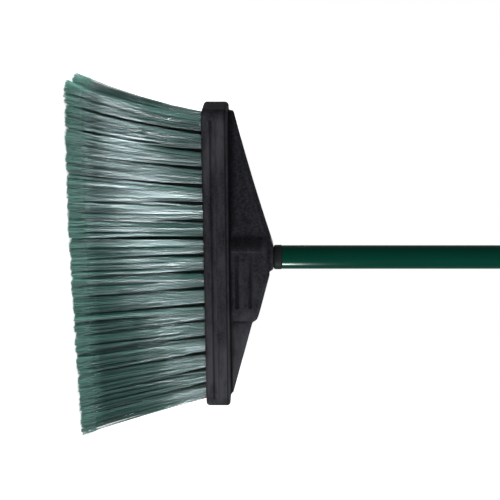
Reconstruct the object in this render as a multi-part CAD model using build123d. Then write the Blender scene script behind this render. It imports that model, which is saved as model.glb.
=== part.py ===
from build123d import *
import os
from math import cos, pi, sin, tan, radians

# Upright broom: a moulded head with four rows of fanned tufts and a screw-in tube handle.
# Z runs up the handle, X along the head and Y through its depth. The floor that the trimmed
# bristles stand on is Z = 0. Sizes are millimetres and degrees.

# Tufts: their layout, the holes that hold them and the strands of each
long_row_tufts = 17
tuft_pitch = 16.2
row_count = 4
row_pitch = 12.0
hole_width = 9.4
hole_depth = 12.0
hole_sides = 6
root_clearance = 0.1
tuft_strands = 5
root_ring = 3.1
tip_ring = 7.0
root_strand = 1.6
tip_strand = 1.35
strand_sides = 3

# Trim: how far the strands stand out and how they fan towards the tips
free_length = 121.6
end_fan = 0.25
fan_power = 1.4
depth_flare = 1.65
trim_crown = 1.5
trim_flat = 0.5

# Anchors: flat wire across each hole, with the tuft folded over it
anchor_height = 2.4
anchor_thickness = 0.6
anchor_bite = 0.8
anchor_clearance = 0.1
fold_thickness = 2.0

# Tuft bar
end_margin = 8.9
side_margin = 4.3
bar_height = 23.0
bar_corner = 8.0
bar_edge = 2.0
backing_thickness = 3.0
backing_rim = 4.0
backing_clearance = 0.1

# Flutes along each of the bar's two faces: a deep one and a shallow one above it
deep_flute_width = 3.6
deep_flute_depth = 1.8
deep_flute_height = 7.8
shallow_flute_width = 1.9
shallow_flute_depth = 0.8
shallow_flute_height = 12.5
flute_taper = 40.0

# Fin above the bar: thick in the middle, thin at the ends, with two sloping shoulders
fin_inset = 5.0
fin_middle = 21.0
fin_end = 14.0
fin_edge = 4.0
left_toe = 5.0
left_drop = 0.6
left_hollow = 1.1
right_toe = 2.2
right_drop = 6.9

# Boss round the two handle sockets, its flutes and the neck at the upright socket
boss_radius = 18.0
boss_lead = 8.0
lead_angle = 5.0
pad_drop = 3.9
pad_edge = 2.5
boss_flutes = 2
boss_flute_width = 4.6
boss_flute_depth = 2.2
boss_flute_rise = 6.8
boss_flute_pitch = 12.4
mouth_height = 41.4
neck_radius = 13.0
neck_edge = 2.0

# Handle sockets: one upright, one tilted for reaching
socket_radius = 9.65
socket_depth = 31.0
socket_lead = 1.0
tilted_spacing = 46.0
tilted_angle = 14.2
tilted_depth = 28.0

# Threaded tip of the handle
thread_clearance = 0.08
thread_length = 30.0
collar_gap = 0.2
collar_proud = 0.2
collar_height = 7.4
collar_edge = 1.2
plug_length = 28.0
plug_clearance = 0.05

# Handle tube and the crimps that hold the tip in it
tube_radius = 11.1
tube_wall = 0.7
tube_length = 1156.0
crimp_height = 18.8
crimp_length = 5.0
crimp_width = 2.0
crimp_depth = 1.3
crimp_taper = 45.0
crimp_count = 2

# End plug and the hanging eye that turns in it
end_plug_length = 26.0
end_plug_flange = 3.0
end_plug_edge = 1.2
stem_radius = 3.6
stem_clearance = 0.05
stem_head_radius = 4.8
stem_head_height = 5.0
stem_slit = 1.4
stem_slit_length = 12.0
eye_gap = 0.2
eye_foot_radius = 8.0
eye_foot_height = 2.5
eye_radius = 9.5
eye_hole_radius = 5.5
eye_thickness = 7.0
eye_edge = 1.2

# Levels and extents that follow from the sizes above
tuft_reach = (long_row_tufts - 1) / 2 * tuft_pitch
row_reach = (row_count - 1) / 2 * row_pitch
bar_length = 2 * (tuft_reach + hole_width / 2 + end_margin)
bar_depth = 2 * (row_reach + hole_width / 2 + side_margin)
bar_bottom = free_length
bar_top = bar_bottom + bar_height
backing_top = bar_bottom + backing_thickness
hole_top = backing_top + hole_depth
mouth_top = bar_top + mouth_height
upper_foot = bar_top - bar_edge
fin_reach = bar_length / 2 - fin_inset
boss_run = tilted_spacing + boss_lead
boss_middle = (tilted_spacing - boss_lead) / 2
pad_height = mouth_top - pad_drop
pad_slope = tan(radians(tilted_angle))
lead_slope = tan(radians(lead_angle))
collar_bottom = mouth_top + collar_gap
tube_bottom = collar_bottom + collar_height
tube_top = tube_bottom + tube_length
tube_bore = tube_radius - tube_wall
collar_radius = tube_radius + collar_proud
flange_top = tube_top + end_plug_flange
eye_bottom = flange_top + eye_gap
tip_reach = tuft_reach + end_fan * free_length + tip_ring

standing = (Align.CENTER, Align.CENTER, Align.MIN)
hanging = (Align.CENTER, Align.CENTER, Align.MAX)


def row_depth(row):
    """Where a row of tufts lies in the depth of the head."""
    return row * row_pitch - row_reach


def tuft_places(row):
    """The tufts' places along a row. Every second row is one tuft shorter, so that they stagger."""
    count = long_row_tufts - row % 2
    return [(index - (count - 1) / 2) * tuft_pitch for index in range(count)]


def pad_level(x):
    """Height of the boss's sloping top, which the tilted socket opens in."""
    return pad_height - (x - neck_radius) * pad_slope


def flute_pair(middle_x, length, height, width, depth, face):
    """The same flute, with half-octagon ends, in the front and the back face of a form."""
    outline = chamfer(Rectangle(length, width).vertices(), width * (1 - cos(pi / 4)))
    cutter = extrude(outline, depth, taper=flute_taper)
    front = Pos(middle_x, -face, height) * Rot(-90, 0, 0) * cutter
    back = Pos(middle_x, face, height) * Rot(90, 0, 0) * cutter
    return [front, back]


def hole_outline(width):
    """A tuft hole, with two of its flats facing along the row."""
    return RegularPolygon(width / 2, hole_sides, major_radius=False)


def tuft_bar():
    """The bar that holds the tufts, with rounded corners and bevelled edges."""
    bar = extrude(Pos(0, 0, bar_bottom) * RectangleRounded(bar_length, bar_depth, bar_corner), bar_height)
    levels = bar.edges().group_by(Axis.Z)
    return chamfer(levels[0] + levels[-1], bar_edge)


def fin_half(side):
    """Half of the fin seen from above, thickest at the handle."""
    middle = fin_middle / 2
    end = fin_end / 2
    corners = [(0, -middle), (side * fin_reach, -end), (side * fin_reach, end), (0, middle)]
    return make_face(Polyline(*corners, close=True))


def boss_plan():
    """The boss seen from above: straight sides between two round ends."""
    return Pos(boss_middle, 0) * SlotCenterToCenter(boss_run, 2 * boss_radius)


def left_outline():
    """The left shoulder from the front: a hollow slope up to the neck."""
    toe = (-fin_reach, bar_top + left_toe)
    head = (-neck_radius, mouth_top - left_drop)
    middle = ((toe[0] + head[0]) / 2, (toe[1] + head[1]) / 2 - left_hollow)
    rest = Polyline(head, (0, head[1]), (0, upper_foot), (-fin_reach, upper_foot), toe)
    return make_face(ThreePointArc(toe, middle, head) + rest)


def right_outline():
    """The right shoulder from the front: a straight slope that starts inside the boss."""
    head = (neck_radius, mouth_top - right_drop)
    toe = (fin_reach, bar_top + right_toe)
    corners = [(0, upper_foot), (0, head[1]), head, toe, (fin_reach, upper_foot)]
    return make_face(Polyline(*corners, close=True))


def boss_outline():
    """The boss from the front: a ridge beside the neck, with a slope to each side of it."""
    reach = tilted_spacing + 2 * boss_radius
    lead_level = pad_height - (reach + neck_radius) * lead_slope
    roof = [(-reach, lead_level), (neck_radius, pad_height), (reach, pad_level(reach))]
    return make_face(Polyline((-reach, upper_foot), *roof, (reach, upper_foot), close=True))


def upper_piece(plan, outline, bevel):
    """A piece of the head above the bar, cut from its plan and its front outline, with a bevelled rim."""
    body = extrude(Pos(0, 0, upper_foot) * plan, mouth_top - upper_foot)
    body &= extrude(Plane.XZ * outline, bar_depth, both=True)
    across = body.edges().filter_by(Axis.Y)
    upward = [face for face in body.faces() if face.normal_at().Z > 0.5]
    edges = [edge for face in upward for edge in face.edges()]
    return chamfer([edge for edge in edges if edges.count(edge) == 1 and edge not in across], bevel)


def fin_and_boss():
    """The upper part of the head: two shoulders, the boss between them and the neck."""
    shoulders = upper_piece(fin_half(-1), left_outline(), fin_edge)
    shoulders += upper_piece(fin_half(1), right_outline(), fin_edge)
    boss = upper_piece(boss_plan(), boss_outline(), pad_edge)
    neck = Pos(0, 0, upper_foot) * Cylinder(neck_radius, mouth_top - upper_foot, align=standing)
    neck = chamfer(neck.edges().group_by(Axis.Z)[-1], neck_edge)
    return shoulders + boss + neck


def socket(depth):
    """A handle socket below its mouth, with a bevelled lead-in."""
    bore = Cylinder(socket_radius, depth, align=hanging)
    lead = Cone(socket_radius, socket_radius + 2 * socket_lead, 2 * socket_lead)
    return bore + lead


def tilted_mouth():
    """The plane of the tilted socket's mouth, square to that socket's axis."""
    lean = radians(tilted_angle)
    origin = (tilted_spacing, 0, pad_level(tilted_spacing))
    return Plane(origin=origin, x_dir=(cos(lean), 0, -sin(lean)), z_dir=(sin(lean), 0, cos(lean)))


def backing_field(clearance):
    """The field of the underside that the tufts come out of."""
    width = bar_length - 2 * (backing_rim + clearance)
    depth = bar_depth - 2 * (backing_rim + clearance)
    return RectangleRounded(width, depth, bar_corner - backing_rim - clearance)


def tuft_holes():
    """Every tuft hole in the block, above the field of the underside."""
    hole = extrude(hole_outline(hole_width), hole_depth)
    places = [(x, row_depth(row)) for row in range(row_count) for x in tuft_places(row)]
    return [Pos(x, y, backing_top) * hole for x, y in places]


def head_block():
    """The moulded head: bar, fin, boss and neck, less its sockets, flutes and tuft holes."""
    block = tuft_bar() + fin_and_boss()
    cuts = [Pos(0, 0, mouth_top) * socket(socket_depth), tilted_mouth() * socket(tilted_depth)]
    bar_flute = bar_length - 2 * bar_corner
    deep_level = bar_bottom + deep_flute_height
    shallow_level = bar_bottom + shallow_flute_height
    cuts += flute_pair(0, bar_flute, deep_level, deep_flute_width, deep_flute_depth, bar_depth / 2)
    cuts += flute_pair(0, bar_flute, shallow_level, shallow_flute_width, shallow_flute_depth, bar_depth / 2)
    for number in range(boss_flutes):
        height = bar_top + boss_flute_rise + number * boss_flute_pitch
        cuts += flute_pair(boss_middle, boss_run, height, boss_flute_width, boss_flute_depth, boss_radius)
    pocket = extrude(Pos(0, 0, bar_bottom) * backing_field(0), backing_thickness)
    return block - cuts - [pocket] - tuft_holes()


def anchor_level():
    """Height of the middle of the anchors, one folded tuft below the end of the holes."""
    return hole_top - root_clearance - fold_thickness - anchor_height / 2


def anchor(clearance):
    """One flat wire anchor, lying along the row."""
    length = hole_width + 2 * anchor_bite + 2 * clearance
    return Box(length, anchor_thickness + 2 * clearance, anchor_height + 2 * clearance)


def tuft_anchors(row):
    """A row's anchors, one to a hole."""
    return Compound([Pos(x, row_depth(row), anchor_level()) * anchor(0) for x in tuft_places(row)])


def strand_tip(x, y, ring_x, ring_y):
    """Where a strand of the tuft at x, y ends: fanned outwards, and trimmed flat in the middle."""
    fan = end_fan * (abs(x) / tuft_reach) ** fan_power * free_length
    spread = tip_ring / root_ring
    tip_x = x + (fan if x > 0 else -fan) + ring_x * spread
    tip_y = y * depth_flare + ring_y * spread
    rise = trim_crown * (tip_x / tip_reach) ** 2
    return tip_x, tip_y, max(rise - trim_flat, 0)


def strand(root, tip, turn):
    """One straight strand between two level ends, as a solid with flat sides."""
    angles = [turn + 2 * pi * side / strand_sides for side in range(strand_sides)]
    upper = [Vector(*root) + Vector(cos(angle), sin(angle)) * root_strand for angle in angles]
    lower = [Vector(*tip) + Vector(cos(angle), sin(angle)) * tip_strand for angle in angles]
    outlines = [upper, lower]
    for side in range(strand_sides):
        following = (side + 1) % strand_sides
        outlines.append([upper[side], upper[following], lower[following], lower[side]])
    return Solid(Shell([Face(Wire.make_polygon(outline)) for outline in outlines]))


def tuft(x, y):
    """The strands of one tuft, spreading from its hole, turned round in the left half of the row."""
    root_level = bar_bottom + backing_thickness / 2
    turn = 0 if x >= 0 else pi
    strands = []
    for number in range(tuft_strands):
        angle = turn + 2 * pi * number / tuft_strands
        ring_x = root_ring * cos(angle)
        ring_y = root_ring * sin(angle)
        root = (x + ring_x, y + ring_y, root_level)
        strands.append(strand(root, strand_tip(x, y, ring_x, ring_y), turn))
    return strands


def bristle_row(row):
    """A row of tufts: its strands, their folded roots and the slice of the underside that joins them."""
    y = row_depth(row)
    band = Pos(0, y) * Rectangle(bar_length, row_pitch - 2 * backing_clearance)
    backing = extrude(Pos(0, 0, bar_bottom) * (backing_field(backing_clearance) & band), backing_thickness)
    root_length = hole_depth - root_clearance + backing_thickness / 2
    root = extrude(hole_outline(hole_width - 2 * root_clearance), root_length)
    pieces = []
    for x in tuft_places(row):
        pieces.append(Pos(x, y, backing_top - backing_thickness / 2) * root)
        pieces += tuft(x, y)
    windows = [Pos(x, y, anchor_level()) * anchor(anchor_clearance) for x in tuft_places(row)]
    return backing + pieces - windows


def crimps(sink):
    """Blunt stakes driven into the tube from outside, moved inwards by the given amount."""
    stake = extrude(Rectangle(crimp_length, crimp_width), tube_radius, taper=-crimp_taper)
    place = Pos(tube_radius - crimp_depth - sink, 0, tube_bottom + crimp_height) * Rot(0, 90, 0)
    return [Rot(0, 0, 360 * number / crimp_count) * place * stake for number in range(crimp_count)]


def threaded_tip():
    """The moulded tip: the screw in the socket, a collar, and a plug inside the tube."""
    screw_radius = socket_radius - thread_clearance
    screw_bottom = mouth_top - thread_length
    plug_radius = tube_bore - plug_clearance
    screw = Pos(0, 0, screw_bottom) * Cylinder(screw_radius, tube_bottom - screw_bottom, align=standing)
    collar = Pos(0, 0, collar_bottom) * Cylinder(collar_radius, collar_height, align=standing)
    collar = chamfer(collar.edges().group_by(Axis.Z)[0], collar_edge)
    plug = Pos(0, 0, tube_bottom) * Cylinder(plug_radius, plug_length, align=standing)
    return screw + collar + plug - crimps(tube_wall + plug_clearance)


def handle_tube():
    """The steel tube, dented inwards at the crimps."""
    place = Pos(0, 0, tube_bottom)
    outside = place * Cylinder(tube_radius, tube_length, align=standing)
    inside = place * Cylinder(tube_bore, tube_length, align=standing)
    dents = [inside & stake for stake in crimps(tube_wall)]
    return outside - inside + dents - crimps(0)


def end_plug():
    """The plug in the tube's upper end, with a flange on top and a hole for the eye's stem."""
    plug_radius = tube_bore - plug_clearance
    plug = Pos(0, 0, tube_top) * Cylinder(plug_radius, end_plug_length, align=hanging)
    flange = Pos(0, 0, tube_top) * Cylinder(tube_radius, end_plug_flange, align=standing)
    flange = chamfer(flange.edges().group_by(Axis.Z)[-1], end_plug_edge)
    bore_radius = stem_radius + stem_clearance
    bore = Pos(0, 0, flange_top) * Cylinder(bore_radius, 2 * end_plug_length, align=hanging)
    return plug + flange - bore


def hang_eye():
    """The hanging eye: a flat ring on a round foot, and a slit stem that snaps into the end plug."""
    stem_bottom = tube_top - end_plug_length - eye_gap
    eye_middle = eye_bottom + eye_foot_height + eye_radius
    stem = Pos(0, 0, stem_bottom) * Cylinder(stem_radius, eye_bottom - stem_bottom, align=standing)
    head = Pos(0, 0, stem_bottom) * Rot(180, 0, 0) * Cone(
        stem_head_radius, stem_radius - stem_slit / 2, stem_head_height, align=standing
    )
    foot = Pos(0, 0, eye_bottom) * Cylinder(eye_foot_radius, eye_foot_height, align=standing)
    ring = Pos(0, 0, eye_middle) * Rot(90, 0, 0) * Cylinder(eye_radius, eye_thickness)
    ring = chamfer(ring.edges().filter_by(GeomType.CIRCLE), eye_edge)
    web = Pos(0, 0, eye_bottom) * Box(eye_radius, eye_thickness - 2 * eye_edge, eye_radius, align=standing)
    hole = Pos(0, 0, eye_middle) * Rot(90, 0, 0) * Cylinder(eye_hole_radius, 2 * eye_thickness)
    slit_bottom = stem_bottom - stem_head_height
    slit = Pos(0, 0, slit_bottom) * Box(3 * stem_head_radius, stem_slit, stem_slit_length, align=standing)
    return stem + [head, foot, ring, web] - hole - slit


parts = {
    "head_block": head_block(),
    "threaded_tip": threaded_tip(),
    "handle_tube": handle_tube(),
    "end_plug": end_plug(),
    "hang_eye": hang_eye(),
}
for row in range(row_count):
    parts[f"bristle_row_{row + 1}"] = bristle_row(row)
    parts[f"tuft_anchors_{row + 1}"] = tuft_anchors(row)

os.makedirs("parts", exist_ok=True)
for name, shape in parts.items():
    export_step(shape, f"parts/{name}.step")
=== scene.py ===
# %% [markdown]
# # An upright broom, dressed around its solid model
# The solid model fixes where every piece is and how it moves. This lesson gives the broom its looks:
# thousands of split bristles, a moulded black head, a screw tip and a painted steel handle.
# Everything is in metres, with Z up and the bristle tips on the floor.

# %% Load the solid model
import functools
import math

import bmesh
import bpy
from mathutils import Matrix, Vector


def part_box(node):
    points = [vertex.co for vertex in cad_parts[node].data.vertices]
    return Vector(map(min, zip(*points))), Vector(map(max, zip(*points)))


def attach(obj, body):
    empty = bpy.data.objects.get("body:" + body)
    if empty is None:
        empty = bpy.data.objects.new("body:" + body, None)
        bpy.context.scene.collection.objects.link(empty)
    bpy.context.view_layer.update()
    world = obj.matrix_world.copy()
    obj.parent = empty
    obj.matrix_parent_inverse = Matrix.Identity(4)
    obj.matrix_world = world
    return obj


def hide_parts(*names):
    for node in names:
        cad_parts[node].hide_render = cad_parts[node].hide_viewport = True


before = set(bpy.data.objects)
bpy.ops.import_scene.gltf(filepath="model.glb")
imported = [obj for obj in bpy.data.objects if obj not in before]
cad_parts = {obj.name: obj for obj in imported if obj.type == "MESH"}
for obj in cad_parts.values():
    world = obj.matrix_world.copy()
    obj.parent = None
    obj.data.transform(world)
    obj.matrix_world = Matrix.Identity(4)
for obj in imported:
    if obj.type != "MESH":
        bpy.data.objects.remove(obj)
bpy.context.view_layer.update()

# %% [markdown]
# ## Camera
# In the photograph the broom lies on its side, so the camera is rolled until the handle points right.
# It could be aimed with a constraint, but a matrix of three directions says the roll plainly.
# The shift moves the picture as the photograph's framing does, without turning the camera.

# %% Camera
MM = 0.001
PICTURE_PIXELS = 500
FOCAL_PIXELS = 1065.3
AXIS_PIXEL = (269.0, 257.0)
SENSOR_WIDTH = 36
NEAREST_SEEN = 0.05
SWING = math.radians(18)
STAND_OFF = 1.0
EYE_HEIGHT = 0.1815

into_scene = Vector((math.sin(SWING), math.cos(SWING), 0))
picture_right = Vector((0, 0, 1))
picture_up = Vector((-math.cos(SWING), math.sin(SWING), 0))

lens = bpy.data.cameras.new("photo_camera")
lens.sensor_width = SENSOR_WIDTH
lens.lens = FOCAL_PIXELS * SENSOR_WIDTH / PICTURE_PIXELS
lens.shift_x = (PICTURE_PIXELS / 2 - AXIS_PIXEL[0]) / PICTURE_PIXELS
lens.shift_y = (AXIS_PIXEL[1] - PICTURE_PIXELS / 2) / PICTURE_PIXELS
lens.clip_start = NEAREST_SEEN
camera = bpy.data.objects.new("photo_camera", lens)
turn = Matrix((picture_right, picture_up, -into_scene)).transposed().to_4x4()
camera.matrix_world = Matrix.Translation(Vector((0, 0, EYE_HEIGHT)) - STAND_OFF * into_scene) @ turn
bpy.context.scene.collection.objects.link(camera)
bpy.context.scene.camera = camera
print("camera lens", round(lens.lens, 1), "mm")

# %% [markdown]
# ## Helpers for node trees
# Shaders and geometry are both built from nodes. A few small helpers keep the lesson readable: one adds
# a node and fills its inputs in order, one does a sum with a Math node, and one gives such sums short
# names, so that a rule reads much as it would on paper.

# %% Node helpers
NOISE_ROUGHNESS = 0.55


def put(tree, kind, inputs=(), **settings):
    """Adds a node, fills or wires its live inputs in order, and gives back its first live output."""
    node = tree.nodes.new(kind)
    for name, value in settings.items():
        setattr(node, name, value)
    live = [socket for socket in node.inputs if socket.enabled]
    for socket, value in zip(live, inputs):
        if isinstance(value, bpy.types.NodeSocket):
            tree.links.new(value, socket)
        elif value is not None:
            socket.default_value = value
    return next(socket for socket in node.outputs if socket.enabled)


def sums(tree, operation, *values):
    """One Math node."""
    return put(tree, "ShaderNodeMath", values, operation=operation)


def arithmetic(tree, *operations):
    """Short names for the sums that a rule needs most."""
    return [functools.partial(sums, tree, operation) for operation in operations]


def remap(tree, value, old_low, old_high, low, high):
    """Stretches a value from one range to another, and stops at the ends."""
    return put(tree, "ShaderNodeMapRange", (value, old_low, old_high, low, high))


def away_from(tree, value, place):
    """How far a coordinate is from a place."""
    return sums(tree, "ABSOLUTE", sums(tree, "SUBTRACT", value, place))


def tint(tree, share, first, second):
    """Mixes two colours."""
    return put(tree, "ShaderNodeMix", (share, first, second), data_type="RGBA")


def deepened(colour, share):
    """A colour with its red, green and blue times a share."""
    return [share * part for part in colour[:3]] + [1]


def speckle(tree, scale, detail=3.0, stretch=None):
    """Noise on the piece's own coordinates, in grains to the metre, stretched along one direction if asked."""
    place = tree.nodes.new("ShaderNodeTexCoord").outputs["Object"]
    if stretch:
        place = put(tree, "ShaderNodeMapping", (place, None, None, stretch))
    return put(tree, "ShaderNodeTexNoise", (place, scale, detail, NOISE_ROUGHNESS), noise_dimensions="3D")


def finish_of(name, **sockets):
    """A new material whose shader has these plain values."""
    material = bpy.data.materials.new(name)
    material.use_nodes = True
    shader = material.node_tree.nodes["Principled BSDF"]
    for socket, value in sockets.items():
        shader.inputs[socket.replace("_", " ")].default_value = value
    return material, material.node_tree, shader


def attribute(tree, name):
    """A value that the mesh carries for each point."""
    node = tree.nodes.new("ShaderNodeAttribute")
    node.attribute_name = name
    return node.outputs["Fac"]


# %% [markdown]
# ## Helpers for pieces
# A round piece is a profile turned about the handle's axis. A moulded piece is a copy of its solid,
# remeshed and smoothed, because a real moulding has no knife edges.
# Both end as plain meshes at the origin, joined to the body that they move with.

# %% Mesh helpers
BEVEL_ANGLE = math.radians(25)
SMOOTH_STEP = 0.5
MERGE_DISTANCE = 1e-6


def plain(maker):
    """Evaluates an object's modifiers, keeps the plain mesh and throws the maker away."""
    bpy.context.view_layer.update()
    mesh = bpy.data.meshes.new_from_object(maker.evaluated_get(bpy.context.evaluated_depsgraph_get()))
    bpy.data.objects.remove(maker)
    return mesh


def maker_of(mesh, name="maker"):
    """A working object that holds a mesh while modifiers are put on it."""
    maker = bpy.data.objects.new(name, mesh)
    bpy.context.scene.collection.objects.link(maker)
    return maker


def kept_mesh(work, name):
    """Turns a working mesh into a plain one and lets the working one go."""
    mesh = bpy.data.meshes.new(name)
    work.to_mesh(mesh)
    work.free()
    return mesh


def joined(*meshes):
    """Several meshes in one, with their places kept."""
    whole = bmesh.new()
    for mesh in meshes:
        whole.from_mesh(mesh)
    return kept_mesh(whole, "joined")


def turned(profile, steps, ring=False):
    """A profile of (radius, height) points turned about Z. A ring's last point joins its first."""
    work = bmesh.new()
    loops = []
    for radius, height in profile:
        if radius == 0:
            loops.append([work.verts.new((0, 0, height))] * steps)
            continue
        angles = [2 * math.pi * step / steps for step in range(steps)]
        loops.append([work.verts.new((radius * math.cos(a), radius * math.sin(a), height)) for a in angles])
    following = loops[1:] + loops[:1] if ring else loops[1:]
    for lower, upper in zip(loops, following):
        for step in range(steps):
            after = (step + 1) % steps
            corners = dict.fromkeys((lower[step], lower[after], upper[after], upper[step]))
            work.faces.new(list(corners))
    bmesh.ops.recalc_face_normals(work, faces=work.faces)
    return kept_mesh(work, "turned")


def softened(mesh, width, segments=3):
    """Rounds the edges of a mesh with a Bevel modifier."""
    maker = maker_of(mesh)
    bevel = maker.modifiers.new("edges", "BEVEL")
    bevel.width = width
    bevel.segments = segments
    bevel.angle_limit = BEVEL_ANGLE
    return plain(maker)


def smoothed(maker, passes):
    """Puts a Smooth modifier on a working object and keeps the result."""
    smooth = maker.modifiers.new("smooth", "SMOOTH")
    smooth.factor = SMOOTH_STEP
    smooth.iterations = passes
    return plain(maker)


def moulded(mesh, grain, passes):
    """Remeshes a closed shape in grains of one size and smooths its edges, as a moulding's are."""
    maker = maker_of(mesh)
    remesh = maker.modifiers.new("skin", "REMESH")
    remesh.mode = "VOXEL"
    remesh.voxel_size = grain
    return smoothed(maker, passes)


def solid_copy(node):
    """A node's mesh as one closed skin: its loose triangles are merged."""
    work = bmesh.new()
    work.from_mesh(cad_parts[node].data)
    bmesh.ops.remove_doubles(work, verts=work.verts, dist=MERGE_DISTANCE)
    return kept_mesh(work, node + "_copy")


# %% [markdown]
# ## Wear, painted shade and finished pieces
# Edges rub pale, and grooves are darkened with painted shade. A shader node could find them, but a value
# that the mesh itself carries stays with the mesh when it is written out. A small piece compares each
# point with its neighbours.
# The head compares it with a smoother copy, which finds its wide grooves too.

# %% Wear and pieces
RELIEF_UNIT = 5 * MM


def mark_edges(mesh):
    """Writes how far each point stands out from its neighbours, for the wear on a moulding's edges and the painted
    shade in its grooves.
    """
    total = [0.0] * len(mesh.vertices)
    count = [0] * len(mesh.vertices)
    for edge in mesh.edges:
        first, second = edge.vertices
        step = mesh.vertices[first].co - mesh.vertices[second].co
        if step.length:
            step.normalize()
            total[first] += step.dot(mesh.vertices[first].normal)
            total[second] -= step.dot(mesh.vertices[second].normal)
        count[first] += 1
        count[second] += 1
    layer = mesh.attributes.new("edge", "FLOAT", "POINT")
    layer.data.foreach_set("value", [t / max(c, 1) for t, c in zip(total, count)])


def mark_relief(mesh, passes):
    """Writes how far each point stands above a much smoother copy, so that wide grooves and ridges count too."""
    smoother = smoothed(maker_of(mesh.copy()), passes)
    pairs = zip(mesh.vertices, smoother.vertices)
    heights = [(here.co - there.co).dot(here.normal) / RELIEF_UNIT for here, there in pairs]
    layer = mesh.attributes.new("edge", "FLOAT", "POINT")
    layer.data.foreach_set("value", heights)


def piece_of(name, mesh, material, body, slot, *nodes, crease=42):
    """The finished piece: shaded, painted, riding on its body, with the solids that it stands for hidden."""
    mesh.name = name
    mesh.materials.clear()
    mesh.materials.append(material)
    if crease:
        mesh.shade_smooth()
        mesh.set_sharp_from_angle(angle=math.radians(crease))
    piece = bpy.data.objects.new(name, mesh)
    bpy.context.scene.collection.objects.link(piece)
    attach(piece, body)
    if nodes:
        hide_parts(*nodes)
    triangles = sum(len(face.vertices) - 2 for face in mesh.polygons)
    print(name, "has", triangles, "triangles")
    return piece


# %% [markdown]
# ## Geometry Nodes with named sizes
# Bristles and screw threads repeat by a rule, so Geometry Nodes make them.
# Each tree gets its sizes as named inputs. A modifier's input is set by its identifier.

# %% Geometry tree helpers


def size_tree(name, sizes):
    """A geometry tree with one named input for each size, and the sockets that carry them."""
    tree = bpy.data.node_groups.new(name, "GeometryNodeTree")
    tree.interface.new_socket("Geometry", in_out="OUTPUT", socket_type="NodeSocketGeometry")
    for label, value in sizes.items():
        kind = "NodeSocketInt" if isinstance(value, int) else "NodeSocketFloat"
        tree.interface.new_socket(label, in_out="INPUT", socket_type=kind)
    entry = tree.nodes.new("NodeGroupInput")
    return tree, {label: entry.outputs[label] for label in sizes}


def grown(tree, sizes):
    """Runs a tree with these sizes and keeps its plain mesh."""
    maker = maker_of(bpy.data.meshes.new("grown"))
    nodes = maker.modifiers.new("rule", "NODES")
    nodes.node_group = tree
    for item in tree.interface.items_tree:
        if item.in_out == "INPUT":
            nodes[item.identifier] = sizes[item.name]
    return plain(maker)


def store(tree, geometry, label, value, kind="FLOAT", domain="POINT"):
    """Writes a value on the geometry under a name."""
    inputs = (geometry, None, label, value)
    return put(tree, "GeometryNodeStoreNamedAttribute", inputs, data_type=kind, domain=domain)


def carried(tree, label, kind="FLOAT"):
    """Reads a value that was written under a name."""
    return put(tree, "GeometryNodeInputNamedAttribute", (label,), data_type=kind)


def tree_end(tree, geometry, material):
    """Realizes the geometry, gives it its material and hands it out."""
    geometry = put(tree, "GeometryNodeRealizeInstances", (geometry,))
    geometry = put(tree, "GeometryNodeSetMaterial", (geometry, None, material))
    tree.links.new(geometry, tree.nodes.new("NodeGroupOutput").inputs[0])


# %% [markdown]
# ## The head's marks, painted highlights and painted shade
# A used head isn't evenly black. The bar's ends and one panel of the fin are paler, painted highlights lie
# along the boss's rim and where its flutes end, and painted shade lies along the lip, at the fin's foot and
# on the boss's brow. They could be painted on a texture. Here each mark is a short range along the head or up it.

# %% Head marks
LIP_LEVEL = 142.4 * MM
LIP_FADE = 4 * MM
FOOT_LEVEL = LIP_LEVEL + 1.9 * MM
BOSS_TOP = (LIP_LEVEL + 30 * MM, LIP_LEVEL + 40 * MM)
BOSS_RIM, BOSS_BROW, BOSS_SLOPE = -10.4 * MM, -17.6 * MM, -13 * MM
FLUTE_ENDS = 44.3 * MM
NECK_POLISH = 183.5 * MM
SOCKET_END, PLAIN_END = (40 * MM, 110 * MM), (-120 * MM, -60 * MM)
BAR_TIPS = (130 * MM, 139 * MM)
PALER_PANEL = (40 * MM, 75 * MM)
SPECK_GRAIN = 620.0


def above_lip(tree, z):
    """Nought on the bar, and one above its lip."""
    return remap(tree, z, LIP_LEVEL, LIP_LEVEL + LIP_FADE, 0.0, 1.0)


def on_boss(tree, z):
    """One from the bar's lip to the boss's top, and nought above and below."""
    return sums(tree, "MULTIPLY", above_lip(tree, z), remap(tree, z, *BOSS_TOP, 1.0, 0.0))


def head_wear_and_highlights(tree, x, z, scuffs, scuffed, proud):
    """Adds the paler ends and panel, pale specks, and painted highlights along the boss's rim and at its flute
    ends.
    """
    add, times, most = arithmetic(tree, "ADD", "MULTIPLY", "MAXIMUM")
    # Paler towards the socket end, less so at the plain end, and on the fin's panel on the socket side.
    socket_end = remap(tree, x, *SOCKET_END, 0.0, 1.2 * scuffed)
    plain_end = remap(tree, x, *PLAIN_END, 0.5 * scuffed, 0.0)
    short_of_tips = remap(tree, sums(tree, "ABSOLUTE", x), *BAR_TIPS, 1.0, 0.0)
    ends = times(most(socket_end, plain_end), short_of_tips)
    panel = remap(tree, x, *PALER_PANEL, 0.0, 1.6 * scuffed)
    paler_ends_and_panel = put(tree, "ShaderNodeMix", (above_lip(tree, z), ends, panel), data_type="FLOAT")
    paler_ends_and_panel = times(paler_ends_and_panel, remap(tree, scuffs, 0.3, 0.6, 0.4, 1.0))
    specks = remap(tree, speckle(tree, SPECK_GRAIN, 2.0), 0.64, 0.74, 0.0, 0.8 * scuffed)
    # Painted highlights: a pale line along the boss's rim and pale marks where its flutes end.
    rim_highlight = remap(tree, away_from(tree, x, BOSS_RIM), 0.4 * MM, 1.3 * MM, 0.85, 0.0)
    rim_highlight = times(rim_highlight, remap(tree, scuffs, 0.35, 0.6, 0.25, 1.0))
    flute_end_highlights = remap(tree, away_from(tree, x, FLUTE_ENDS), 0.8 * MM, 3.4 * MM, 0.75, 0.0)
    flute_end_highlights = times(flute_end_highlights, remap(tree, scuffs, 0.4, 0.6, 0.0, 1.0))
    proud = most(add(proud, paler_ends_and_panel), specks)
    return most(proud, times(most(rim_highlight, flute_end_highlights), on_boss(tree, z)))


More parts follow.
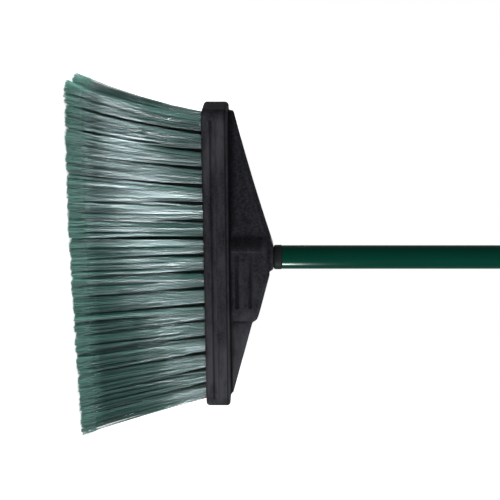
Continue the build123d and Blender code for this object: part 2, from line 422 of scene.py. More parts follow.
def head_painted_shade(tree, x, z, groove_shade):
    """Fades the painted groove shade beside the boss's slope, and adds painted shade along the lip, at the fin's
    foot and on the boss's brow.
    """
    times, most, less = arithmetic(tree, "MULTIPLY", "MAXIMUM", "SUBTRACT")
    off_slope = remap(tree, away_from(tree, x, BOSS_SLOPE), 14 * MM, 30 * MM, 0.4, 1.0)
    groove_shade = times(groove_shade, most(off_slope, less(1.0, above_lip(tree, z))))
    # Painted shade: a dark line along the lip, a band at the fin's foot and a patch on the boss's brow.
    lip_shade_line = remap(tree, away_from(tree, z, LIP_LEVEL), 0.3 * MM, 1.2 * MM, 0.6, 0.0)
    above = less(z, FOOT_LEVEL)
    foot_height = remap(tree, x, -34 * MM, -24 * MM, 8 * MM, 3 * MM)
    foot_shade = times(remap(tree, above, 0.0, 0.6 * MM, 0.0, 1.0), remap(tree, above, 1.5 * MM, foot_height, 0.85, 0.0))
    brow_shade = remap(tree, away_from(tree, x, BOSS_BROW), 1.8 * MM, 7.2 * MM, 0.46, 0.0)
    return most(most(most(groove_shade, lip_shade_line), foot_shade), times(on_boss(tree, z), brow_shade))


# %% [markdown]
# ## Black moulded plastic
# The head is dyed polypropylene: satin black, a little grey where it catches light, with a fine grain
# from the mould and paler rubbed edges; its grooves are darkened with painted shade. The tip and the end
# fittings are the same kind of black. The wear and the painted shade read the value that the mesh carries.
# A low specular level keeps the head and the tip from going milky in white surroundings.

# %% Plastic finishes
PATCH_GRAIN, SCUFF_GRAIN = 55.0, 130.0
SCUFF_STRETCH = (0.3, 1.0, 1.0)
RUB_SPAN = (-60 * MM, 100 * MM)
PROUD_DEPTH = (11 * MM, 22 * MM)
GRAIN_BUMP = (0.25, 0.3 * MM)
GRAIN_DULLNESS = 0.24


def black_plastic(name, base, worn, roughness, specular, grain, scuffed=0.0, is_head=False):
    """Satin black plastic with mould grain, painted shade in its grooves, rubbed edges and scuffs where it stands
    proud.
    """
    material, tree, shader = finish_of(name, Specular_IOR_Level=specular)
    add, less, times, most = arithmetic(tree, "ADD", "SUBTRACT", "MULTIPLY", "MAXIMUM")
    spread = tree.nodes.new("ShaderNodeSeparateXYZ")
    tree.links.new(tree.nodes.new("ShaderNodeTexCoord").outputs["Object"], spread.inputs[0])
    x, y, z = spread.outputs
    patches = speckle(tree, PATCH_GRAIN)
    fine = speckle(tree, grain, 2.0)
    scuffs = speckle(tree, SCUFF_GRAIN, 5.0, SCUFF_STRETCH)
    edge = attribute(tree, "edge")
    rubbed = times(remap(tree, edge, 0.015, 0.12, 0.0, 1.0), remap(tree, patches, 0.35, 0.65, 0.25, 1.0))
    rubbed = times(rubbed, remap(tree, x, *RUB_SPAN, 0.35, 1.0))
    proud = remap(tree, sums(tree, "ABSOLUTE", y), *PROUD_DEPTH, 0.25 * scuffed, scuffed)
    proud = times(proud, remap(tree, scuffs, 0.36, 0.66, 0.2, 1.0))
    # Painted shade: concave points are mixed towards a near-black copy of the base colour.
    groove_shade = remap(tree, edge, -0.07, -0.012, 0.55, 0.0)
    dull = add(roughness - GRAIN_DULLNESS / 2, times(fine, GRAIN_DULLNESS))
    if is_head:
        proud = head_wear_and_highlights(tree, x, z, scuffs, scuffed, proud)
        groove_shade = head_painted_shade(tree, x, z, groove_shade)
        dull = less(dull, remap(tree, z, NECK_POLISH - 1 * MM, NECK_POLISH, 0.0, 0.55))
    body = tint(tree, remap(tree, fine, 0.3, 0.7, 0.0, 1.0), deepened(base, 0.35), deepened(base, 1.65))
    # The pale colour serves the rubbed edges and scuffs and, on the head, the painted highlights too.
    body = tint(tree, most(rubbed, proud), body, worn)
    # The painted shade goes on last, over the grain and the wear.
    tree.links.new(tint(tree, groove_shade, body, deepened(base, 0.12)), shader.inputs["Base Color"])
    tree.links.new(dull, shader.inputs["Roughness"])
    tree.links.new(put(tree, "ShaderNodeBump", (*GRAIN_BUMP, None, fine)), shader.inputs["Normal"])
    return material


head_black = black_plastic(
    "head_black", base=(0.0122, 0.0126, 0.0160, 1), worn=(0.050, 0.051, 0.057, 1),
    roughness=0.78, specular=0.014, grain=480.0, scuffed=0.6, is_head=True)
tip_black = black_plastic(
    "tip_black", base=(0.012, 0.013, 0.014, 1), worn=(0.03, 0.031, 0.033, 1),
    roughness=0.5, specular=0.014, grain=1800.0)
cap_black = black_plastic(
    "cap_black", base=(0.013, 0.014, 0.0145, 1), worn=(0.045, 0.046, 0.048, 1),
    roughness=0.42, specular=0.3, grain=1600.0)
print("plastics:", head_black.name, tip_black.name, cap_black.name)

# %% [markdown]
# ## Screw threads
# A broom's thread is a rounded ridge that winds up the tip, with a matching one in each socket.
# It could be drawn with the Screw modifier. Here a spiral curve carries a round profile,
# and the profile shrinks to nearly nothing at both ends so that the ridge runs out smoothly.

# %% Thread tree
THREAD_PITCH = 5.08 * MM
THREAD_STEPS = 28
BEAD_SIDES = 8
RUN_OUT, THIN_END = 0.08, 0.15
thread_sizes = {"Radius": 0.0, "Bead": 0.0, "Turns": 0.0, "Pitch": 0.0, "Steps": 1}


def thread_tree(material):
    """A right-hand ridge that starts at Z = 0."""
    tree, size = size_tree("Thread", thread_sizes)
    rise = sums(tree, "MULTIPLY", size["Turns"], size["Pitch"])
    spiral = (size["Steps"], size["Turns"], size["Radius"], size["Radius"], rise)
    helix = put(tree, "GeometryNodeCurveSpiral", spiral)
    helix = put(tree, "GeometryNodeSetCurveNormal", (helix,), mode="Z_UP")
    along = put(tree, "GeometryNodeSplineParameter")
    from_end = sums(tree, "MINIMUM", along, sums(tree, "SUBTRACT", 1.0, along))
    thick = remap(tree, from_end, 0.0, RUN_OUT, THIN_END, 1.0)
    circle = put(tree, "GeometryNodeCurvePrimitiveCircle", (BEAD_SIDES, size["Bead"]))
    ridge = put(tree, "GeometryNodeCurveToMesh", (helix, circle, thick, True))
    tree_end(tree, ridge, material)
    return tree


def thread(tree, radius, bead, turns, placed):
    """One ridge, moved to where it winds."""
    sizes = {"Radius": radius, "Bead": bead, "Turns": turns, "Pitch": THREAD_PITCH, "Steps": THREAD_STEPS}
    mesh = grown(tree, sizes)
    mesh.transform(placed)
    return mesh


tip_thread_tree = thread_tree(tip_black)
socket_thread_tree = thread_tree(head_black)
print("thread pitch", THREAD_PITCH / MM, "mm")

# %% [markdown]
# ## Head
# The head is one moulding: a long fluted bar, a fin that narrows to both ends, a fluted boss and the
# neck that takes the handle. The solid has these forms with flat bevels. A copy is remeshed in 1 mm
# grains and smoothed, which rounds every edge as a mould does. Its tuft holes are filled first,
# because the bristles hide them, and the threads in the two sockets are added after.

# %% Head skin
HEAD_GRAIN, HEAD_PASSES = 1.0 * MM, 3
RELIEF_PASSES = 60
BAR_CORNER, CORNER_STEPS = 8 * MM, 8
FILL_INSET = 3 * MM
FILL_TOP = 137.8 * MM
MOUTH_TOP = 186 * MM
SOCKET_DEPTH, TILTED_DEPTH = 26 * MM, 25 * MM
TILTED_MOUTH = Vector((46, 0, 173.75)) * MM
TILTED_AXIS = Vector((0.2453, 0, 0.9694))
SOCKET_THREAD = (9.75 * MM, 0.75 * MM, 4.2)


def filler(low, high, inset, top):
    """A block with rounded corners that closes the tuft holes, level with the underside."""
    radius = BAR_CORNER - inset
    reach_x = high.x - inset - radius
    reach_y = high.y - inset - radius
    work = bmesh.new()
    outline = []
    for quarter, (side_x, side_y) in enumerate(((1, 1), (-1, 1), (-1, -1), (1, -1))):
        for step in range(CORNER_STEPS + 1):
            angle = math.pi / 2 * (quarter + step / CORNER_STEPS)
            x = side_x * reach_x + radius * math.cos(angle)
            y = side_y * reach_y + radius * math.sin(angle)
            outline.append(work.verts.new((x, y, low.z)))
    block = bmesh.ops.extrude_face_region(work, geom=[work.faces.new(outline)])
    upper = [item for item in block["geom"] if isinstance(item, bmesh.types.BMVert)]
    bmesh.ops.translate(work, verts=upper, vec=(0, 0, top - low.z))
    bmesh.ops.recalc_face_normals(work, faces=work.faces)
    return kept_mesh(work, "filler")


head_low, head_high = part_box("head_block")
head_copy = solid_copy("head_block")
hole_filler = filler(head_low, head_high, FILL_INSET, FILL_TOP)
head_skin = moulded(joined(head_copy, hole_filler), HEAD_GRAIN, HEAD_PASSES)
straight_start = Matrix.Translation((0, 0, MOUTH_TOP - SOCKET_DEPTH + THREAD_PITCH / 2))
tilt = Vector((0, 0, 1)).rotation_difference(TILTED_AXIS).to_matrix().to_4x4()
tilted_start = Matrix.Translation(TILTED_MOUTH - TILTED_DEPTH * TILTED_AXIS) @ tilt
socket_threads = [thread(socket_thread_tree, *SOCKET_THREAD, start) for start in (straight_start, tilted_start)]
head_mesh = joined(head_skin, *socket_threads)
mark_relief(head_mesh, RELIEF_PASSES)
head = piece_of("head_shell", head_mesh, head_black, "head", "head_plastic", "head_block")

# %% [markdown]
# ## Bristle finish
# The bristles are dark green polypropylene. Their last tenth is split into fine flags, which looks
# paler and greener. Each bristle carries two values: how far along it a point is, and its own shade.
# The sheen isn't painted: it is the light, running along thousands of round filaments. The two inner
# rows get painted shade, a deeper green, because on a real broom many more filaments keep the light from
# them, and every filament gets painted shade near its root.

# %% Bristle finish
FILAMENT_DARK, FILAMENT_LIGHT = (0.024, 0.104, 0.083), (0.052, 0.167, 0.139)
FLAG_DARK, FLAG_LIGHT = (0.053, 0.197, 0.155, 1), (0.168, 0.41, 0.335, 1)
ROOT_SHADE = (0.008, 0.028, 0.024, 1)
INNER_ROW_SHADE = 0.4


def bristle_finish(name, depth):
    """Green filament: painted shade near the root, paler towards the flagged tip, no two quite the same."""
    material, tree, shader = finish_of(name, Specular_IOR_Level=0.5)
    along = attribute(tree, "along")
    shade = attribute(tree, "shade")
    dark = tint(tree, shade, deepened(FILAMENT_DARK, depth), deepened(FILAMENT_LIGHT, depth))
    pale = tint(tree, shade, FLAG_DARK, FLAG_LIGHT)
    # Painted shade: near the root each filament is mixed towards a near-black green.
    deep = tint(tree, remap(tree, along, 0.0, 0.3, 0.5, 0.0), dark, ROOT_SHADE)
    split = remap(tree, along, 0.81, 0.97, 0.0, 1.0)
    tree.links.new(tint(tree, split, deep, pale), shader.inputs["Base Color"])
    smooth_middle = remap(tree, along, 0.05, 0.3, 0.165, 0.145)
    dull_tip = remap(tree, along, 0.80, 1.0, 0.145, 0.45)
    tree.links.new(sums(tree, "MAXIMUM", smooth_middle, dull_tip), shader.inputs["Roughness"])
    return material


bristle_green = bristle_finish("bristle_green", 1.0)
# The inner rows' copy of the finish, darkened with painted shade.
bristle_shaded = bristle_finish("bristle_shaded", INNER_ROW_SHADE)
print("bristle finishes:", bristle_green.name, bristle_shaded.name)

# %% [markdown]
# ## Bristle rule
# Four staggered rows of tufts are folded into the head. Each tuft is a few hundred filaments that
# leave one hole, keep together in small locks, fan out towards the ends of the head and are trimmed
# at the floor. A hair system could comb them, but its strands aren't a mesh. Here the tree makes one
# point for every filament and works out its root and tip from its number. A used fan isn't even:
# it leans to one end, its outer tufts sag between root and tip, and its trim rises more at one end.

# %% Bristle rule
tuft_sizes = {
    "Tufts": 1, "Filaments": 1, "Flags": 1, "Seed": 1, "Pitch": 0.0, "Depth": 0.0, "Reach": 0.0,
    "Root level": 0.0, "Free length": 0.0, "Fan": 0.0, "Fan power": 0.0, "Flare": 0.0, "Root ring": 0.0,
    "Tip ring": 0.0, "Crown": 0.0, "Filament radius": 0.0, "Flag radius": 0.0, "Flag start": 0.0,
}
FAN_SHARE, FAN_LEAN = 0.965, 0.085
SAG, SAG_LEAN, SAG_POWER = 2.5 * MM, 0.4, 3.0
TRIM_SHARE, TRIM_LEAN = 2.1, 1.1
LOCKS_ACROSS = 5
TUFT_KEY, COLUMN_KEY = 64, 8
LOCK_STRAY, TIP_STRAY, TUFT_STRAY = 0.24, 0.1, 1.1 * MM
END_SPREAD, END_POWER = 0.2, 0.4
ROOT_FLATNESS = 0.84
LOCK_STEP, FILAMENT_STEP = 1.0 * MM, 1.6 * MM
DOME_ACROSS, DOME_DEEP = 1.6 * MM, 0.6 * MM
SWELL, GATHER = 0.12, 0.42
LOCK_BOW, BOW = 1.2 * MM, 0.25 * MM
LOCK_TONE = 0.45


def strand_values(tree, size, split, start, ragged):
    """Works out where each strand starts, ends, bends and strays, and its shade, from its number."""
    add, less, times, over, power = arithmetic(tree, "ADD", "SUBTRACT", "MULTIPLY", "DIVIDE", "POWER")
    whole, plain_size = arithmetic(tree, "FLOOR", "ABSOLUTE")

    def chance(low, high, key, salt):
        return put(tree, "FunctionNodeRandomValue", (low, high, key, add(size["Seed"], salt)), data_type="FLOAT")

    def combine(x, y, z):
        return put(tree, "ShaderNodeCombineXYZ", (x, y, z))

    def rounded(one, other):
        return times(one, sums(tree, "SQRT", less(1.0, times(times(other, other), 0.5))))

    # Which filament and tuft a strand belongs to, where the tuft stands, and how it fans and sags.
    index = put(tree, "GeometryNodeInputIndex")
    parent = whole(over(add(index, 0.5), split))
    tuft = whole(over(add(parent, 0.5), size["Filaments"]))
    tuft_x = times(less(tuft, times(less(size["Tufts"], 1), 0.5)), size["Pitch"])
    outward = sums(tree, "SIGN", tuft_x)
    share = over(plain_size(tuft_x), size["Reach"])
    fan = times(times(power(share, size["Fan power"]), size["Fan"]), size["Free length"])
    fan = times(fan, times(outward, less(FAN_SHARE, times(outward, FAN_LEAN))))
    sag = times(times(outward, power(share, SAG_POWER)), -SAG)
    sag = times(sag, less(1.0, times(outward, SAG_LEAN)))

    # The filament's place in its tuft, and the lock that it keeps to.
    across = chance(-1.0, 1.0, parent, 1)
    deep = chance(-1.0, 1.0, parent, 2)
    side_x = rounded(across, deep)
    side_y = rounded(deep, across)
    layer = whole(times(add(deep, 1.0), LOCKS_ACROSS / 2))
    shift = times(sums(tree, "MODULO", layer, 2.0), 0.5)
    column = whole(add(times(add(across, 1.0), LOCKS_ACROSS / 2), shift))
    lock = add(times(tuft, TUFT_KEY), add(times(column, COLUMN_KEY), layer))
    lock_x = chance(-LOCK_STRAY, LOCK_STRAY, lock, 3)
    lock_y = chance(-LOCK_STRAY, LOCK_STRAY, lock, 4)
    lock_middle = less(times(add(column, less(0.5, shift)), 2 / LOCKS_ACROSS), 1.0)
    tip_side_x = add(across, add(lock_x, chance(-TIP_STRAY, TIP_STRAY, parent, 5)))
    tip_side_y = add(deep, add(lock_y, chance(-TIP_STRAY, TIP_STRAY, parent, 6)))
    stray_x = chance(-TUFT_STRAY, TUFT_STRAY, tuft, 17)
    stray_y = chance(-TUFT_STRAY, TUFT_STRAY, tuft, 18)
    wider = add(1.0, times(power(share, END_POWER), END_SPREAD))

    # Root and tip. The tips are trimmed to a crown that isn't quite even.
    root_x = add(tuft_x, times(side_x, size["Root ring"]))
    root_y = add(size["Depth"], times(side_y, times(size["Root ring"], ROOT_FLATNESS)))
    tip_x = add(add(add(tuft_x, fan), stray_x), times(times(tip_side_x, wider), size["Tip ring"]))
    tip_y = add(add(times(size["Depth"], size["Flare"]), stray_y), times(tip_side_y, size["Tip ring"]))
    whole_reach = add(size["Reach"], times(size["Fan"], size["Free length"]))
    rise = times(power(over(plain_size(tip_x), whole_reach), 2.0), size["Crown"])
    rise = times(rise, less(TRIM_SHARE, times(outward, TRIM_LEAN)))
    uneven = add(times(chance(0.0, 1.0, lock, 7), LOCK_STEP), times(chance(0.0, 1.0, parent, 8), FILAMENT_STEP))
    dome = add(times(power(plain_size(across), 4.0), DOME_ACROSS), times(times(deep, deep), DOME_DEEP))

    # The bow between them: a tuft swells, its locks gather, and the outer tufts sag.
    widen = times(less(size["Tip ring"], size["Root ring"]), SWELL)
    gather = times(less(lock_middle, across), times(size["Tip ring"], GATHER))
    bow_x = add(add(times(side_x, widen), gather), sag)
    bow_x = add(bow_x, add(times(lock_x, LOCK_BOW), chance(-BOW, BOW, parent, 9)))
    bow_y = add(times(side_y, widen), add(times(lock_y, LOCK_BOW), chance(-BOW, BOW, parent, 10)))
    lock_tone = times(chance(0.0, 1.0, lock, 14), LOCK_TONE)
    own_tone = times(chance(0.0, 1.0, parent, 15), 1 - LOCK_TONE)
    return {
        "root": combine(root_x, root_y, size["Root level"]),
        "tip": combine(tip_x, tip_y, add(add(rise, uneven), dome)),
        "bow": combine(bow_x, bow_y, 0.0),
        "stray": combine(chance(-1.0, 1.0, index, 11), chance(-1.0, 1.0, index, 12), chance(0.0, 0.5, index, 13)),
        "shade": add(lock_tone, own_tone),
        "start": less(start, chance(0.0, ragged, parent, 16)),
    }


# %% [markdown]
# ## Bristle tree
# A short curve is drawn for every strand, bent between its root and tip, and swept with a triangle.
# The same rule with a later start makes the split flags. A round profile would be smoother, but three
# sides with smooth shading are enough for something this thin. Last, each strand gets a map of its
# shade and of the way along it, so that its colours can be baked from that map.

# %% Bristle tree
PLACES = ("root", "tip", "bow", "stray")
STRAND_SIDES = 3
AROUND_SHARE = 0.04
MAP_EDGE = 0.999


def hairs(tree, size, split, points_on_each, start, ragged, thickness, spread, taper):
    """Filaments, or the flags that split from them, as swept curves with their own values."""
    add, less, times = arithmetic(tree, "ADD", "SUBTRACT", "MULTIPLY")
    cloud = put(tree, "GeometryNodePoints", (times(times(size["Tufts"], size["Filaments"]), split),))
    for label, value in strand_values(tree, size, split, start, ragged).items():
        cloud = store(tree, cloud, label, value, "FLOAT_VECTOR" if label in PLACES else "FLOAT")
    line = put(tree, "GeometryNodeCurvePrimitiveLine", ((0, 0, 0), (0, 0, 1)))
    line = put(tree, "GeometryNodeResampleCurve", (line, None, points_on_each))
    strands = put(tree, "GeometryNodeInstanceOnPoints", (cloud, None, line))
    strands = put(tree, "GeometryNodeRealizeInstances", (strands,))

    root, tip, bow, stray = (carried(tree, label, "FLOAT_VECTOR") for label in PLACES)
    step = put(tree, "GeometryNodeSplineParameter")
    first = carried(tree, "start")
    along = add(first, times(step, less(1.0, first)))
    curve = times(times(along, less(1.0, along)), 4.0)
    place = put(tree, "ShaderNodeMix", (along, root, tip), data_type="VECTOR")
    for direction, amount in ((bow, curve), (stray, times(step, spread))):
        moved = put(tree, "ShaderNodeVectorMath", (direction, amount), operation="SCALE")
        place = put(tree, "ShaderNodeVectorMath", (place, moved), operation="ADD")
    strands = store(tree, strands, "along", along)
    strands = put(tree, "GeometryNodeSetPosition", (strands, None, place))
    profile = put(tree, "GeometryNodeCurvePrimitiveCircle", (STRAND_SIDES, thickness))
    profile = store(tree, profile, "around", put(tree, "GeometryNodeSplineParameter"))
    thin = less(1.0, times(put(tree, "GeometryNodeSplineParameter"), taper))
    return put(tree, "GeometryNodeCurveToMesh", (strands, profile, thin, True))


def tuft_tree(material):
    """A row of tufts: filaments, and the flags at their tips."""
    tree, size = size_tree("Tuft row", tuft_sizes)
    add, times = arithmetic(tree, "ADD", "MULTIPLY")
    filaments = hairs(
        tree, size, split=1, points_on_each=5, start=0.0, ragged=0.0,
        thickness=size["Filament radius"], spread=0.0, taper=0.35)
    flags = hairs(
        tree, size, split=size["Flags"], points_on_each=2, start=size["Flag start"], ragged=0.09,
        thickness=size["Flag radius"], spread=2.8 * MM, taper=0.5)
    both = tree.nodes.new("GeometryNodeJoinGeometry")
    tree.links.new(filaments, both.inputs[0])
    tree.links.new(flags, both.inputs[0])
    shade = add(times(carried(tree, "shade"), 1 - AROUND_SHARE), times(carried(tree, "around"), AROUND_SHARE))
    place = put(tree, "ShaderNodeCombineXYZ", (shade, times(carried(tree, "along"), MAP_EDGE), 0.0))
    mapped = store(tree, both.outputs[0], "OFBake", place, "FLOAT2", "CORNER")
    # The cut ends are the only faces with three corners, and they stay flat.
    cut_end = sums(tree, "LESS_THAN", put(tree, "GeometryNodeInputMeshFaceNeighbors"), 3.5)
    mapped = put(tree, "GeometryNodeSetShadeSmooth", (mapped, None, True), domain="FACE")
    mapped = put(tree, "GeometryNodeSetShadeSmooth", (mapped, cut_end, False), domain="FACE")
    for label in (*PLACES, "start", "around"):
        mapped = put(tree, "GeometryNodeRemoveAttribute", (mapped, label))
    tree_end(tree, mapped, material)
    return tree


row_tree = tuft_tree(bristle_green)
print("bristle tree has", len(row_tree.nodes), "nodes")

# %% Bristle rows
ROW_DEPTHS = (-18 * MM, -6 * MM, 6 * MM, 18 * MM)
ROW_TUFTS = (17, 16, 17, 16)
ROW_SEEDS = (159, 259, 359, 459)
OUTER_ROWS = (1, 4)
row_sizes = {
    "Filaments": 270, "Flags": 2, "Pitch": 16.2 * MM, "Reach": 129.6 * MM,
    "Root level": 123.1 * MM, "Free length": 121.6 * MM, "Fan": 0.25, "Fan power": 1.4, "Flare": 1.7,
    "Root ring": 6.2 * MM, "Tip ring": 7.9 * MM, "Crown": 1.2 * MM,
    "Filament radius": 0.3 * MM, "Flag radius": 0.16 * MM, "Flag start": 0.92,
}
rows = []
for number, (depth, tufts, seed) in enumerate(zip(ROW_DEPTHS, ROW_TUFTS, ROW_SEEDS), 1):
    row_sizes.update({"Tufts": tufts, "Depth": depth, "Seed": seed})
    row_mesh = grown(row_tree, row_sizes)
    name = f"filaments_row_{number}"
    # The inner rows take the copy with painted shade.
    finish = bristle_green if number in OUTER_ROWS else bristle_shaded
    rows.append(piece_of(name, row_mesh, finish, "head", "bristle", f"bristle_row_{number}", crease=None))

# %% [markdown]
# ## Anchor wire
# Each tuft is folded over a flat piece of wire that bites into the head. They sit deep in the holes,
# so the solids stay as they are and only get a drawn steel finish.

# %% Anchor wire


def drawn_steel():
    """Bright wire with fine lines along it."""
    material, tree, shader = finish_of("drawn_steel", Metallic=1.0)
    lines = speckle(tree, 900.0, 2.0, (0.05, 1.0, 1.0))
    tree.links.new(tint(tree, lines, (0.36, 0.36, 0.37, 1), (0.6, 0.6, 0.61, 1)), shader.inputs["Base Color"])
    tree.links.new(remap(tree, lines, 0.3, 0.7, 0.28, 0.45), shader.inputs["Roughness"])
    return material


anchor_steel = drawn_steel()
for number in range(1, len(rows) + 1):
    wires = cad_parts[f"tuft_anchors_{number}"].data
    wires.materials.clear()
    wires.materials.append(anchor_steel)
print("anchors painted:", len(rows), "rows")

# %% [markdown]
# ## Screw tip
# A black plastic tip is pressed into the tube and staked there. Below the tube it has a collar,
# and below that the thread that goes into the head. It is turned from one profile,
# its edges are rounded with a Bevel modifier, and the ridge is added.

# %% Screw tip
TIP_THREAD = (8.4 * MM, 1.08 * MM, 4.6)
TIP_STEPS, TIP_BEVEL = 72, 0.45 * MM
tip_profile = [
    (0, 156.0), (7.0, 156.0), (8.4, 157.6), (8.4, 185.2), (10.6, 186.2), (11.1, 186.5), (11.5, 187.3),
    (11.5, 192.7), (11.2, 193.5), (10.3, 193.6), (10.3, 219.6), (9.2, 221.5), (0, 221.5),
]
tip_core = softened(turned([(r * MM, z * MM) for r, z in tip_profile], TIP_STEPS), TIP_BEVEL)
tip_ridge = thread(tip_thread_tree, *TIP_THREAD, Matrix.Translation((0, 0, MOUTH_TOP - SOCKET_DEPTH)))
tip_mesh = joined(tip_core, tip_ridge)
mark_edges(tip_mesh)
tip = piece_of("screw_tip", tip_mesh, tip_black, "handle", "tip_plastic", "threaded_tip")

# %% [markdown]
# ## Painted tube
# The handle is thin steel tube under dark green enamel. Near its lower end two punched stakes hold
# the tip. The tube is turned as a closed ring, inside and outside, with more rings where the stakes
# are, and the stakes are pressed in by moving points, as the punch did. Fine lines run along the
# tube, and they spread the paint's gloss sideways.

# %% Green enamel


def green_enamel():
    """Dark green gloss paint with a few rubbed lines along the tube."""
    material, tree, shader = finish_of("green_enamel", Specular_IOR_Level=0.02, Anisotropic=0.75)
    drift = speckle(tree, 14.0)
    rubs = speckle(tree, 420.0, 2.0, (1.0, 1.0, 0.02))
    body = tint(tree, drift, (0.0004, 0.033, 0.0200, 1), (0.0010, 0.042, 0.0260, 1))
    worn = remap(tree, rubs, 0.70, 0.78, 0.0, 0.3)
    tree.links.new(tint(tree, worn, body, (0.012, 0.075, 0.052, 1)), shader.inputs["Base Color"])
    tree.links.new(remap(tree, rubs, 0.4, 0.75, 0.18, 0.19), shader.inputs["Roughness"])
    return material


tube_green = green_enamel()
print("enamel:", tube_green.name)

# %% Painted tube
TUBE_LOW, TUBE_HIGH = 193.6, 1349.6
TUBE_RADIUS, TUBE_WALL, TUBE_EDGE = 11.1, 0.7, 0.25
TUBE_STEPS = 112
STAKE_HEIGHT = 212.4 * MM
STAKE_LENGTH, STAKE_WIDTH, STAKE_DEPTH = 2.6 * MM, 1.5 * MM, 1.1 * MM
stake_levels = [206 + 0.5 * step for step in range(27)]
levels = [TUBE_LOW + TUBE_EDGE, 198, 203] + stake_levels + [224, 260, 400, 700, 1000, 1250, TUBE_HIGH - TUBE_EDGE]
outside = [(TUBE_RADIUS - TUBE_EDGE, TUBE_LOW)] + [(TUBE_RADIUS, z) for z in levels]
outside.append((TUBE_RADIUS - TUBE_EDGE, TUBE_HIGH))
inside = [(TUBE_RADIUS - TUBE_WALL, z) for z in reversed([TUBE_LOW] + levels[1:-1] + [TUBE_HIGH])]
tube_mesh = turned([(r * MM, z * MM) for r, z in outside + inside], TUBE_STEPS, ring=True)
for point in tube_mesh.vertices:
    radius = math.hypot(point.co.x, point.co.y)
    height = (point.co.z - STAKE_HEIGHT) / STAKE_LENGTH
    across = point.co.y / STAKE_WIDTH
    press = STAKE_DEPTH * math.exp(-(height ** 4) - across ** 2)
    point.co.x *= (radius - press) / radius
    point.co.y *= (radius - press) / radius
tube = piece_of("painted_tube", tube_mesh, tube_green, "handle", "tube_paint", "handle_tube")

# %% [markdown]
# ## End plug and hanging eye
# A plastic plug closes the tube's upper end, and an eye turns in it for hanging the broom up.
# Both are small mouldings, so they are remeshed copies of their solids with softened edges.

# %% End plug and hanging eye
PLUG_GRAIN, PLUG_PASSES = 0.45 * MM, 3
EYE_GRAIN, EYE_PASSES = 0.35 * MM, 5
plug_mesh = moulded(solid_copy("end_plug"), PLUG_GRAIN, PLUG_PASSES)
mark_edges(plug_mesh)
plug = piece_of("tube_plug", plug_mesh, cap_black, "handle", "end_plastic", "end_plug")
eye_mesh = moulded(solid_copy("hang_eye"), EYE_GRAIN, EYE_PASSES)
mark_edges(eye_mesh)
eye = piece_of("swivel_eye", eye_mesh, cap_black, "hang_swivel", "end_plastic", "hang_eye")

# %% [markdown]
# ## Floor and surroundings
# The photograph has a plain white ground. The floor and the world are white for rays from the camera,
# and for reflections, while the light that falls on the broom stays at a plain level.

# %% Surroundings
WORLD_LEVEL = 0.35
FLOOR_REACH, FLOOR_SQUARES = 6.0, 12
FLOOR_GREY = (0.6, 0.6, 0.6, 1)
WHITE = (1, 1, 1, 1)


def seen_directly(tree):
    """One for rays that come from the camera, a reflection or a clear piece, and nought for the rest."""
    path = tree.nodes.new("ShaderNodeLightPath")
    sight = sums(tree, "MAXIMUM", path.outputs["Is Camera Ray"], path.outputs["Is Glossy Ray"])
    return sums(tree, "MAXIMUM", sight, path.outputs["Is Transmission Ray"])


world = bpy.data.worlds.new("studio")
world.use_nodes = True
bpy.context.scene.world = world
sky = world.node_tree
background = sky.nodes["Background"]
background.inputs["Color"].default_value = WHITE
sky.links.new(remap(sky, seen_directly(sky), 0.0, 1.0, WORLD_LEVEL, 1.0), background.inputs["Strength"])

work = bmesh.new()
bmesh.ops.create_grid(work, x_segments=FLOOR_SQUARES, y_segments=FLOOR_SQUARES, size=FLOOR_REACH)
floor_mesh = kept_mesh(work, "studio_floor")
floor = bpy.data.objects.new("studio_floor", floor_mesh)
bpy.context.scene.collection.objects.link(floor)
floor_paint = bpy.data.materials.new("studio_floor")
floor_paint.use_nodes = True
ground = floor_paint.node_tree
ground.nodes.clear()
matt = put(ground, "ShaderNodeBsdfDiffuse", (FLOOR_GREY,))
lift = put(ground, "ShaderNodeEmission", (WHITE, seen_directly(ground)))
ground_out = ground.nodes.new("ShaderNodeOutputMaterial")
ground.links.new(put(ground, "ShaderNodeAddShader", (matt, lift)), ground_out.inputs["Surface"])
floor_mesh.materials.append(floor_paint)
print("floor", 2 * FLOOR_REACH, "m wide")

# %% [markdown]
# ## Light
# Fill lamps are broad: they give plain light and don't show in gloss. Gloss lamps are small and show in
# gloss alone: three of them draw the sheen along the bristles, and a slim one from the side draws the
# thin line on the handle. One large lamp could do all of it, but then the sheen couldn't be placed
# without changing the plain light. Blender can link a lamp to a few pieces, and most lamps here are.

# %% Lights


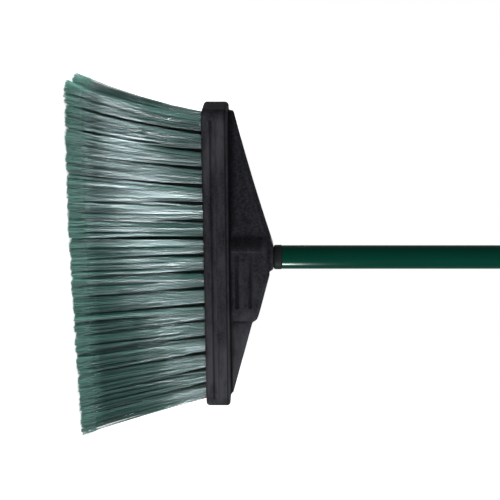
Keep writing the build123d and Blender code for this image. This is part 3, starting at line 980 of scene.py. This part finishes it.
def soft_light(name, azimuth, height, distance, size, power, aim):
    """A rectangular lamp, at an angle from the front towards +X, that looks at a height on the handle's axis."""
    lamp = bpy.data.lights.new(name, "AREA")
    lamp.shape = "RECTANGLE"
    lamp.size, lamp.size_y = size
    lamp.energy = power
    place = bpy.data.objects.new(name, lamp)
    angle = math.radians(azimuth)
    stand = Vector((distance * math.sin(angle), -distance * math.cos(angle), height))
    place.location = stand
    place.rotation_euler = (Vector((0, 0, aim)) - stand).to_track_quat("-Z", "Y").to_euler()
    bpy.context.scene.collection.objects.link(place)
    return place


def light_only(lamp, pieces):
    """Links a lamp to a few pieces, so that its light falls on them alone."""
    receivers = bpy.data.collections.new(lamp.name + "_pieces")
    for piece in pieces:
        receivers.objects.link(piece)
    lamp.light_linking.receiver_collection = receivers


SHEEN_SIZE, SHEEN_COLOUR = (0.2, 0.06), (0.8, 0.95, 1.0)
LINE_SIZE, LINE_COLOUR = (0.05, 0.03), (0.8, 1.0, 0.94)
moulded_pieces = (head, tip, tube, plug, eye, floor)
# Name, angle, height, distance, size, power and aim, then the pieces that it lights (None is all of
# them), and the colour of a gloss lamp (None is a fill lamp).
lamps = (
    ("broad_light", 25, 0.5, 1.9, (1.4, 1.0), 30, 0.15, moulded_pieces, None),
    ("brush_light", -62, 0.5, 1.9, (1.0, 0.8), 41, 0.1, rows, None),
    ("sheen_light", 4, 0.311, 1.8, SHEEN_SIZE, 62, 0.1, rows[:1], SHEEN_COLOUR),
    ("corner_sheen", -58, 0.165, 1.8, SHEEN_SIZE, 60, 0.1, rows[2:], SHEEN_COLOUR),
    ("slim_light", 57, 0.207, 1.2, LINE_SIZE, 53, 0.2, (tube, tip), LINE_COLOUR),
    ("back_light", 185, 0.7, 1.8, (1.4, 1.0), 20, 0.2, None, None),
    ("back_sheen", 177, 0.305, 1.8, SHEEN_SIZE, 40, 0.1, rows[3:], SHEEN_COLOUR),
    ("edge_light", 262, 0.5, 1.8, (1.0, 0.8), 20, 0.1, rows, None),
)
for *stand, pieces, gloss_colour in lamps:
    lamp = soft_light(*stand)
    if gloss_colour:
        lamp.data.color = gloss_colour
        lamp.visible_diffuse = False
    else:
        lamp.visible_glossy = False
    if pieces:
        light_only(lamp, pieces)
bpy.context.scene.view_settings.view_transform = "Standard"
print("lights:", ", ".join(lamp[0] for lamp in lamps))
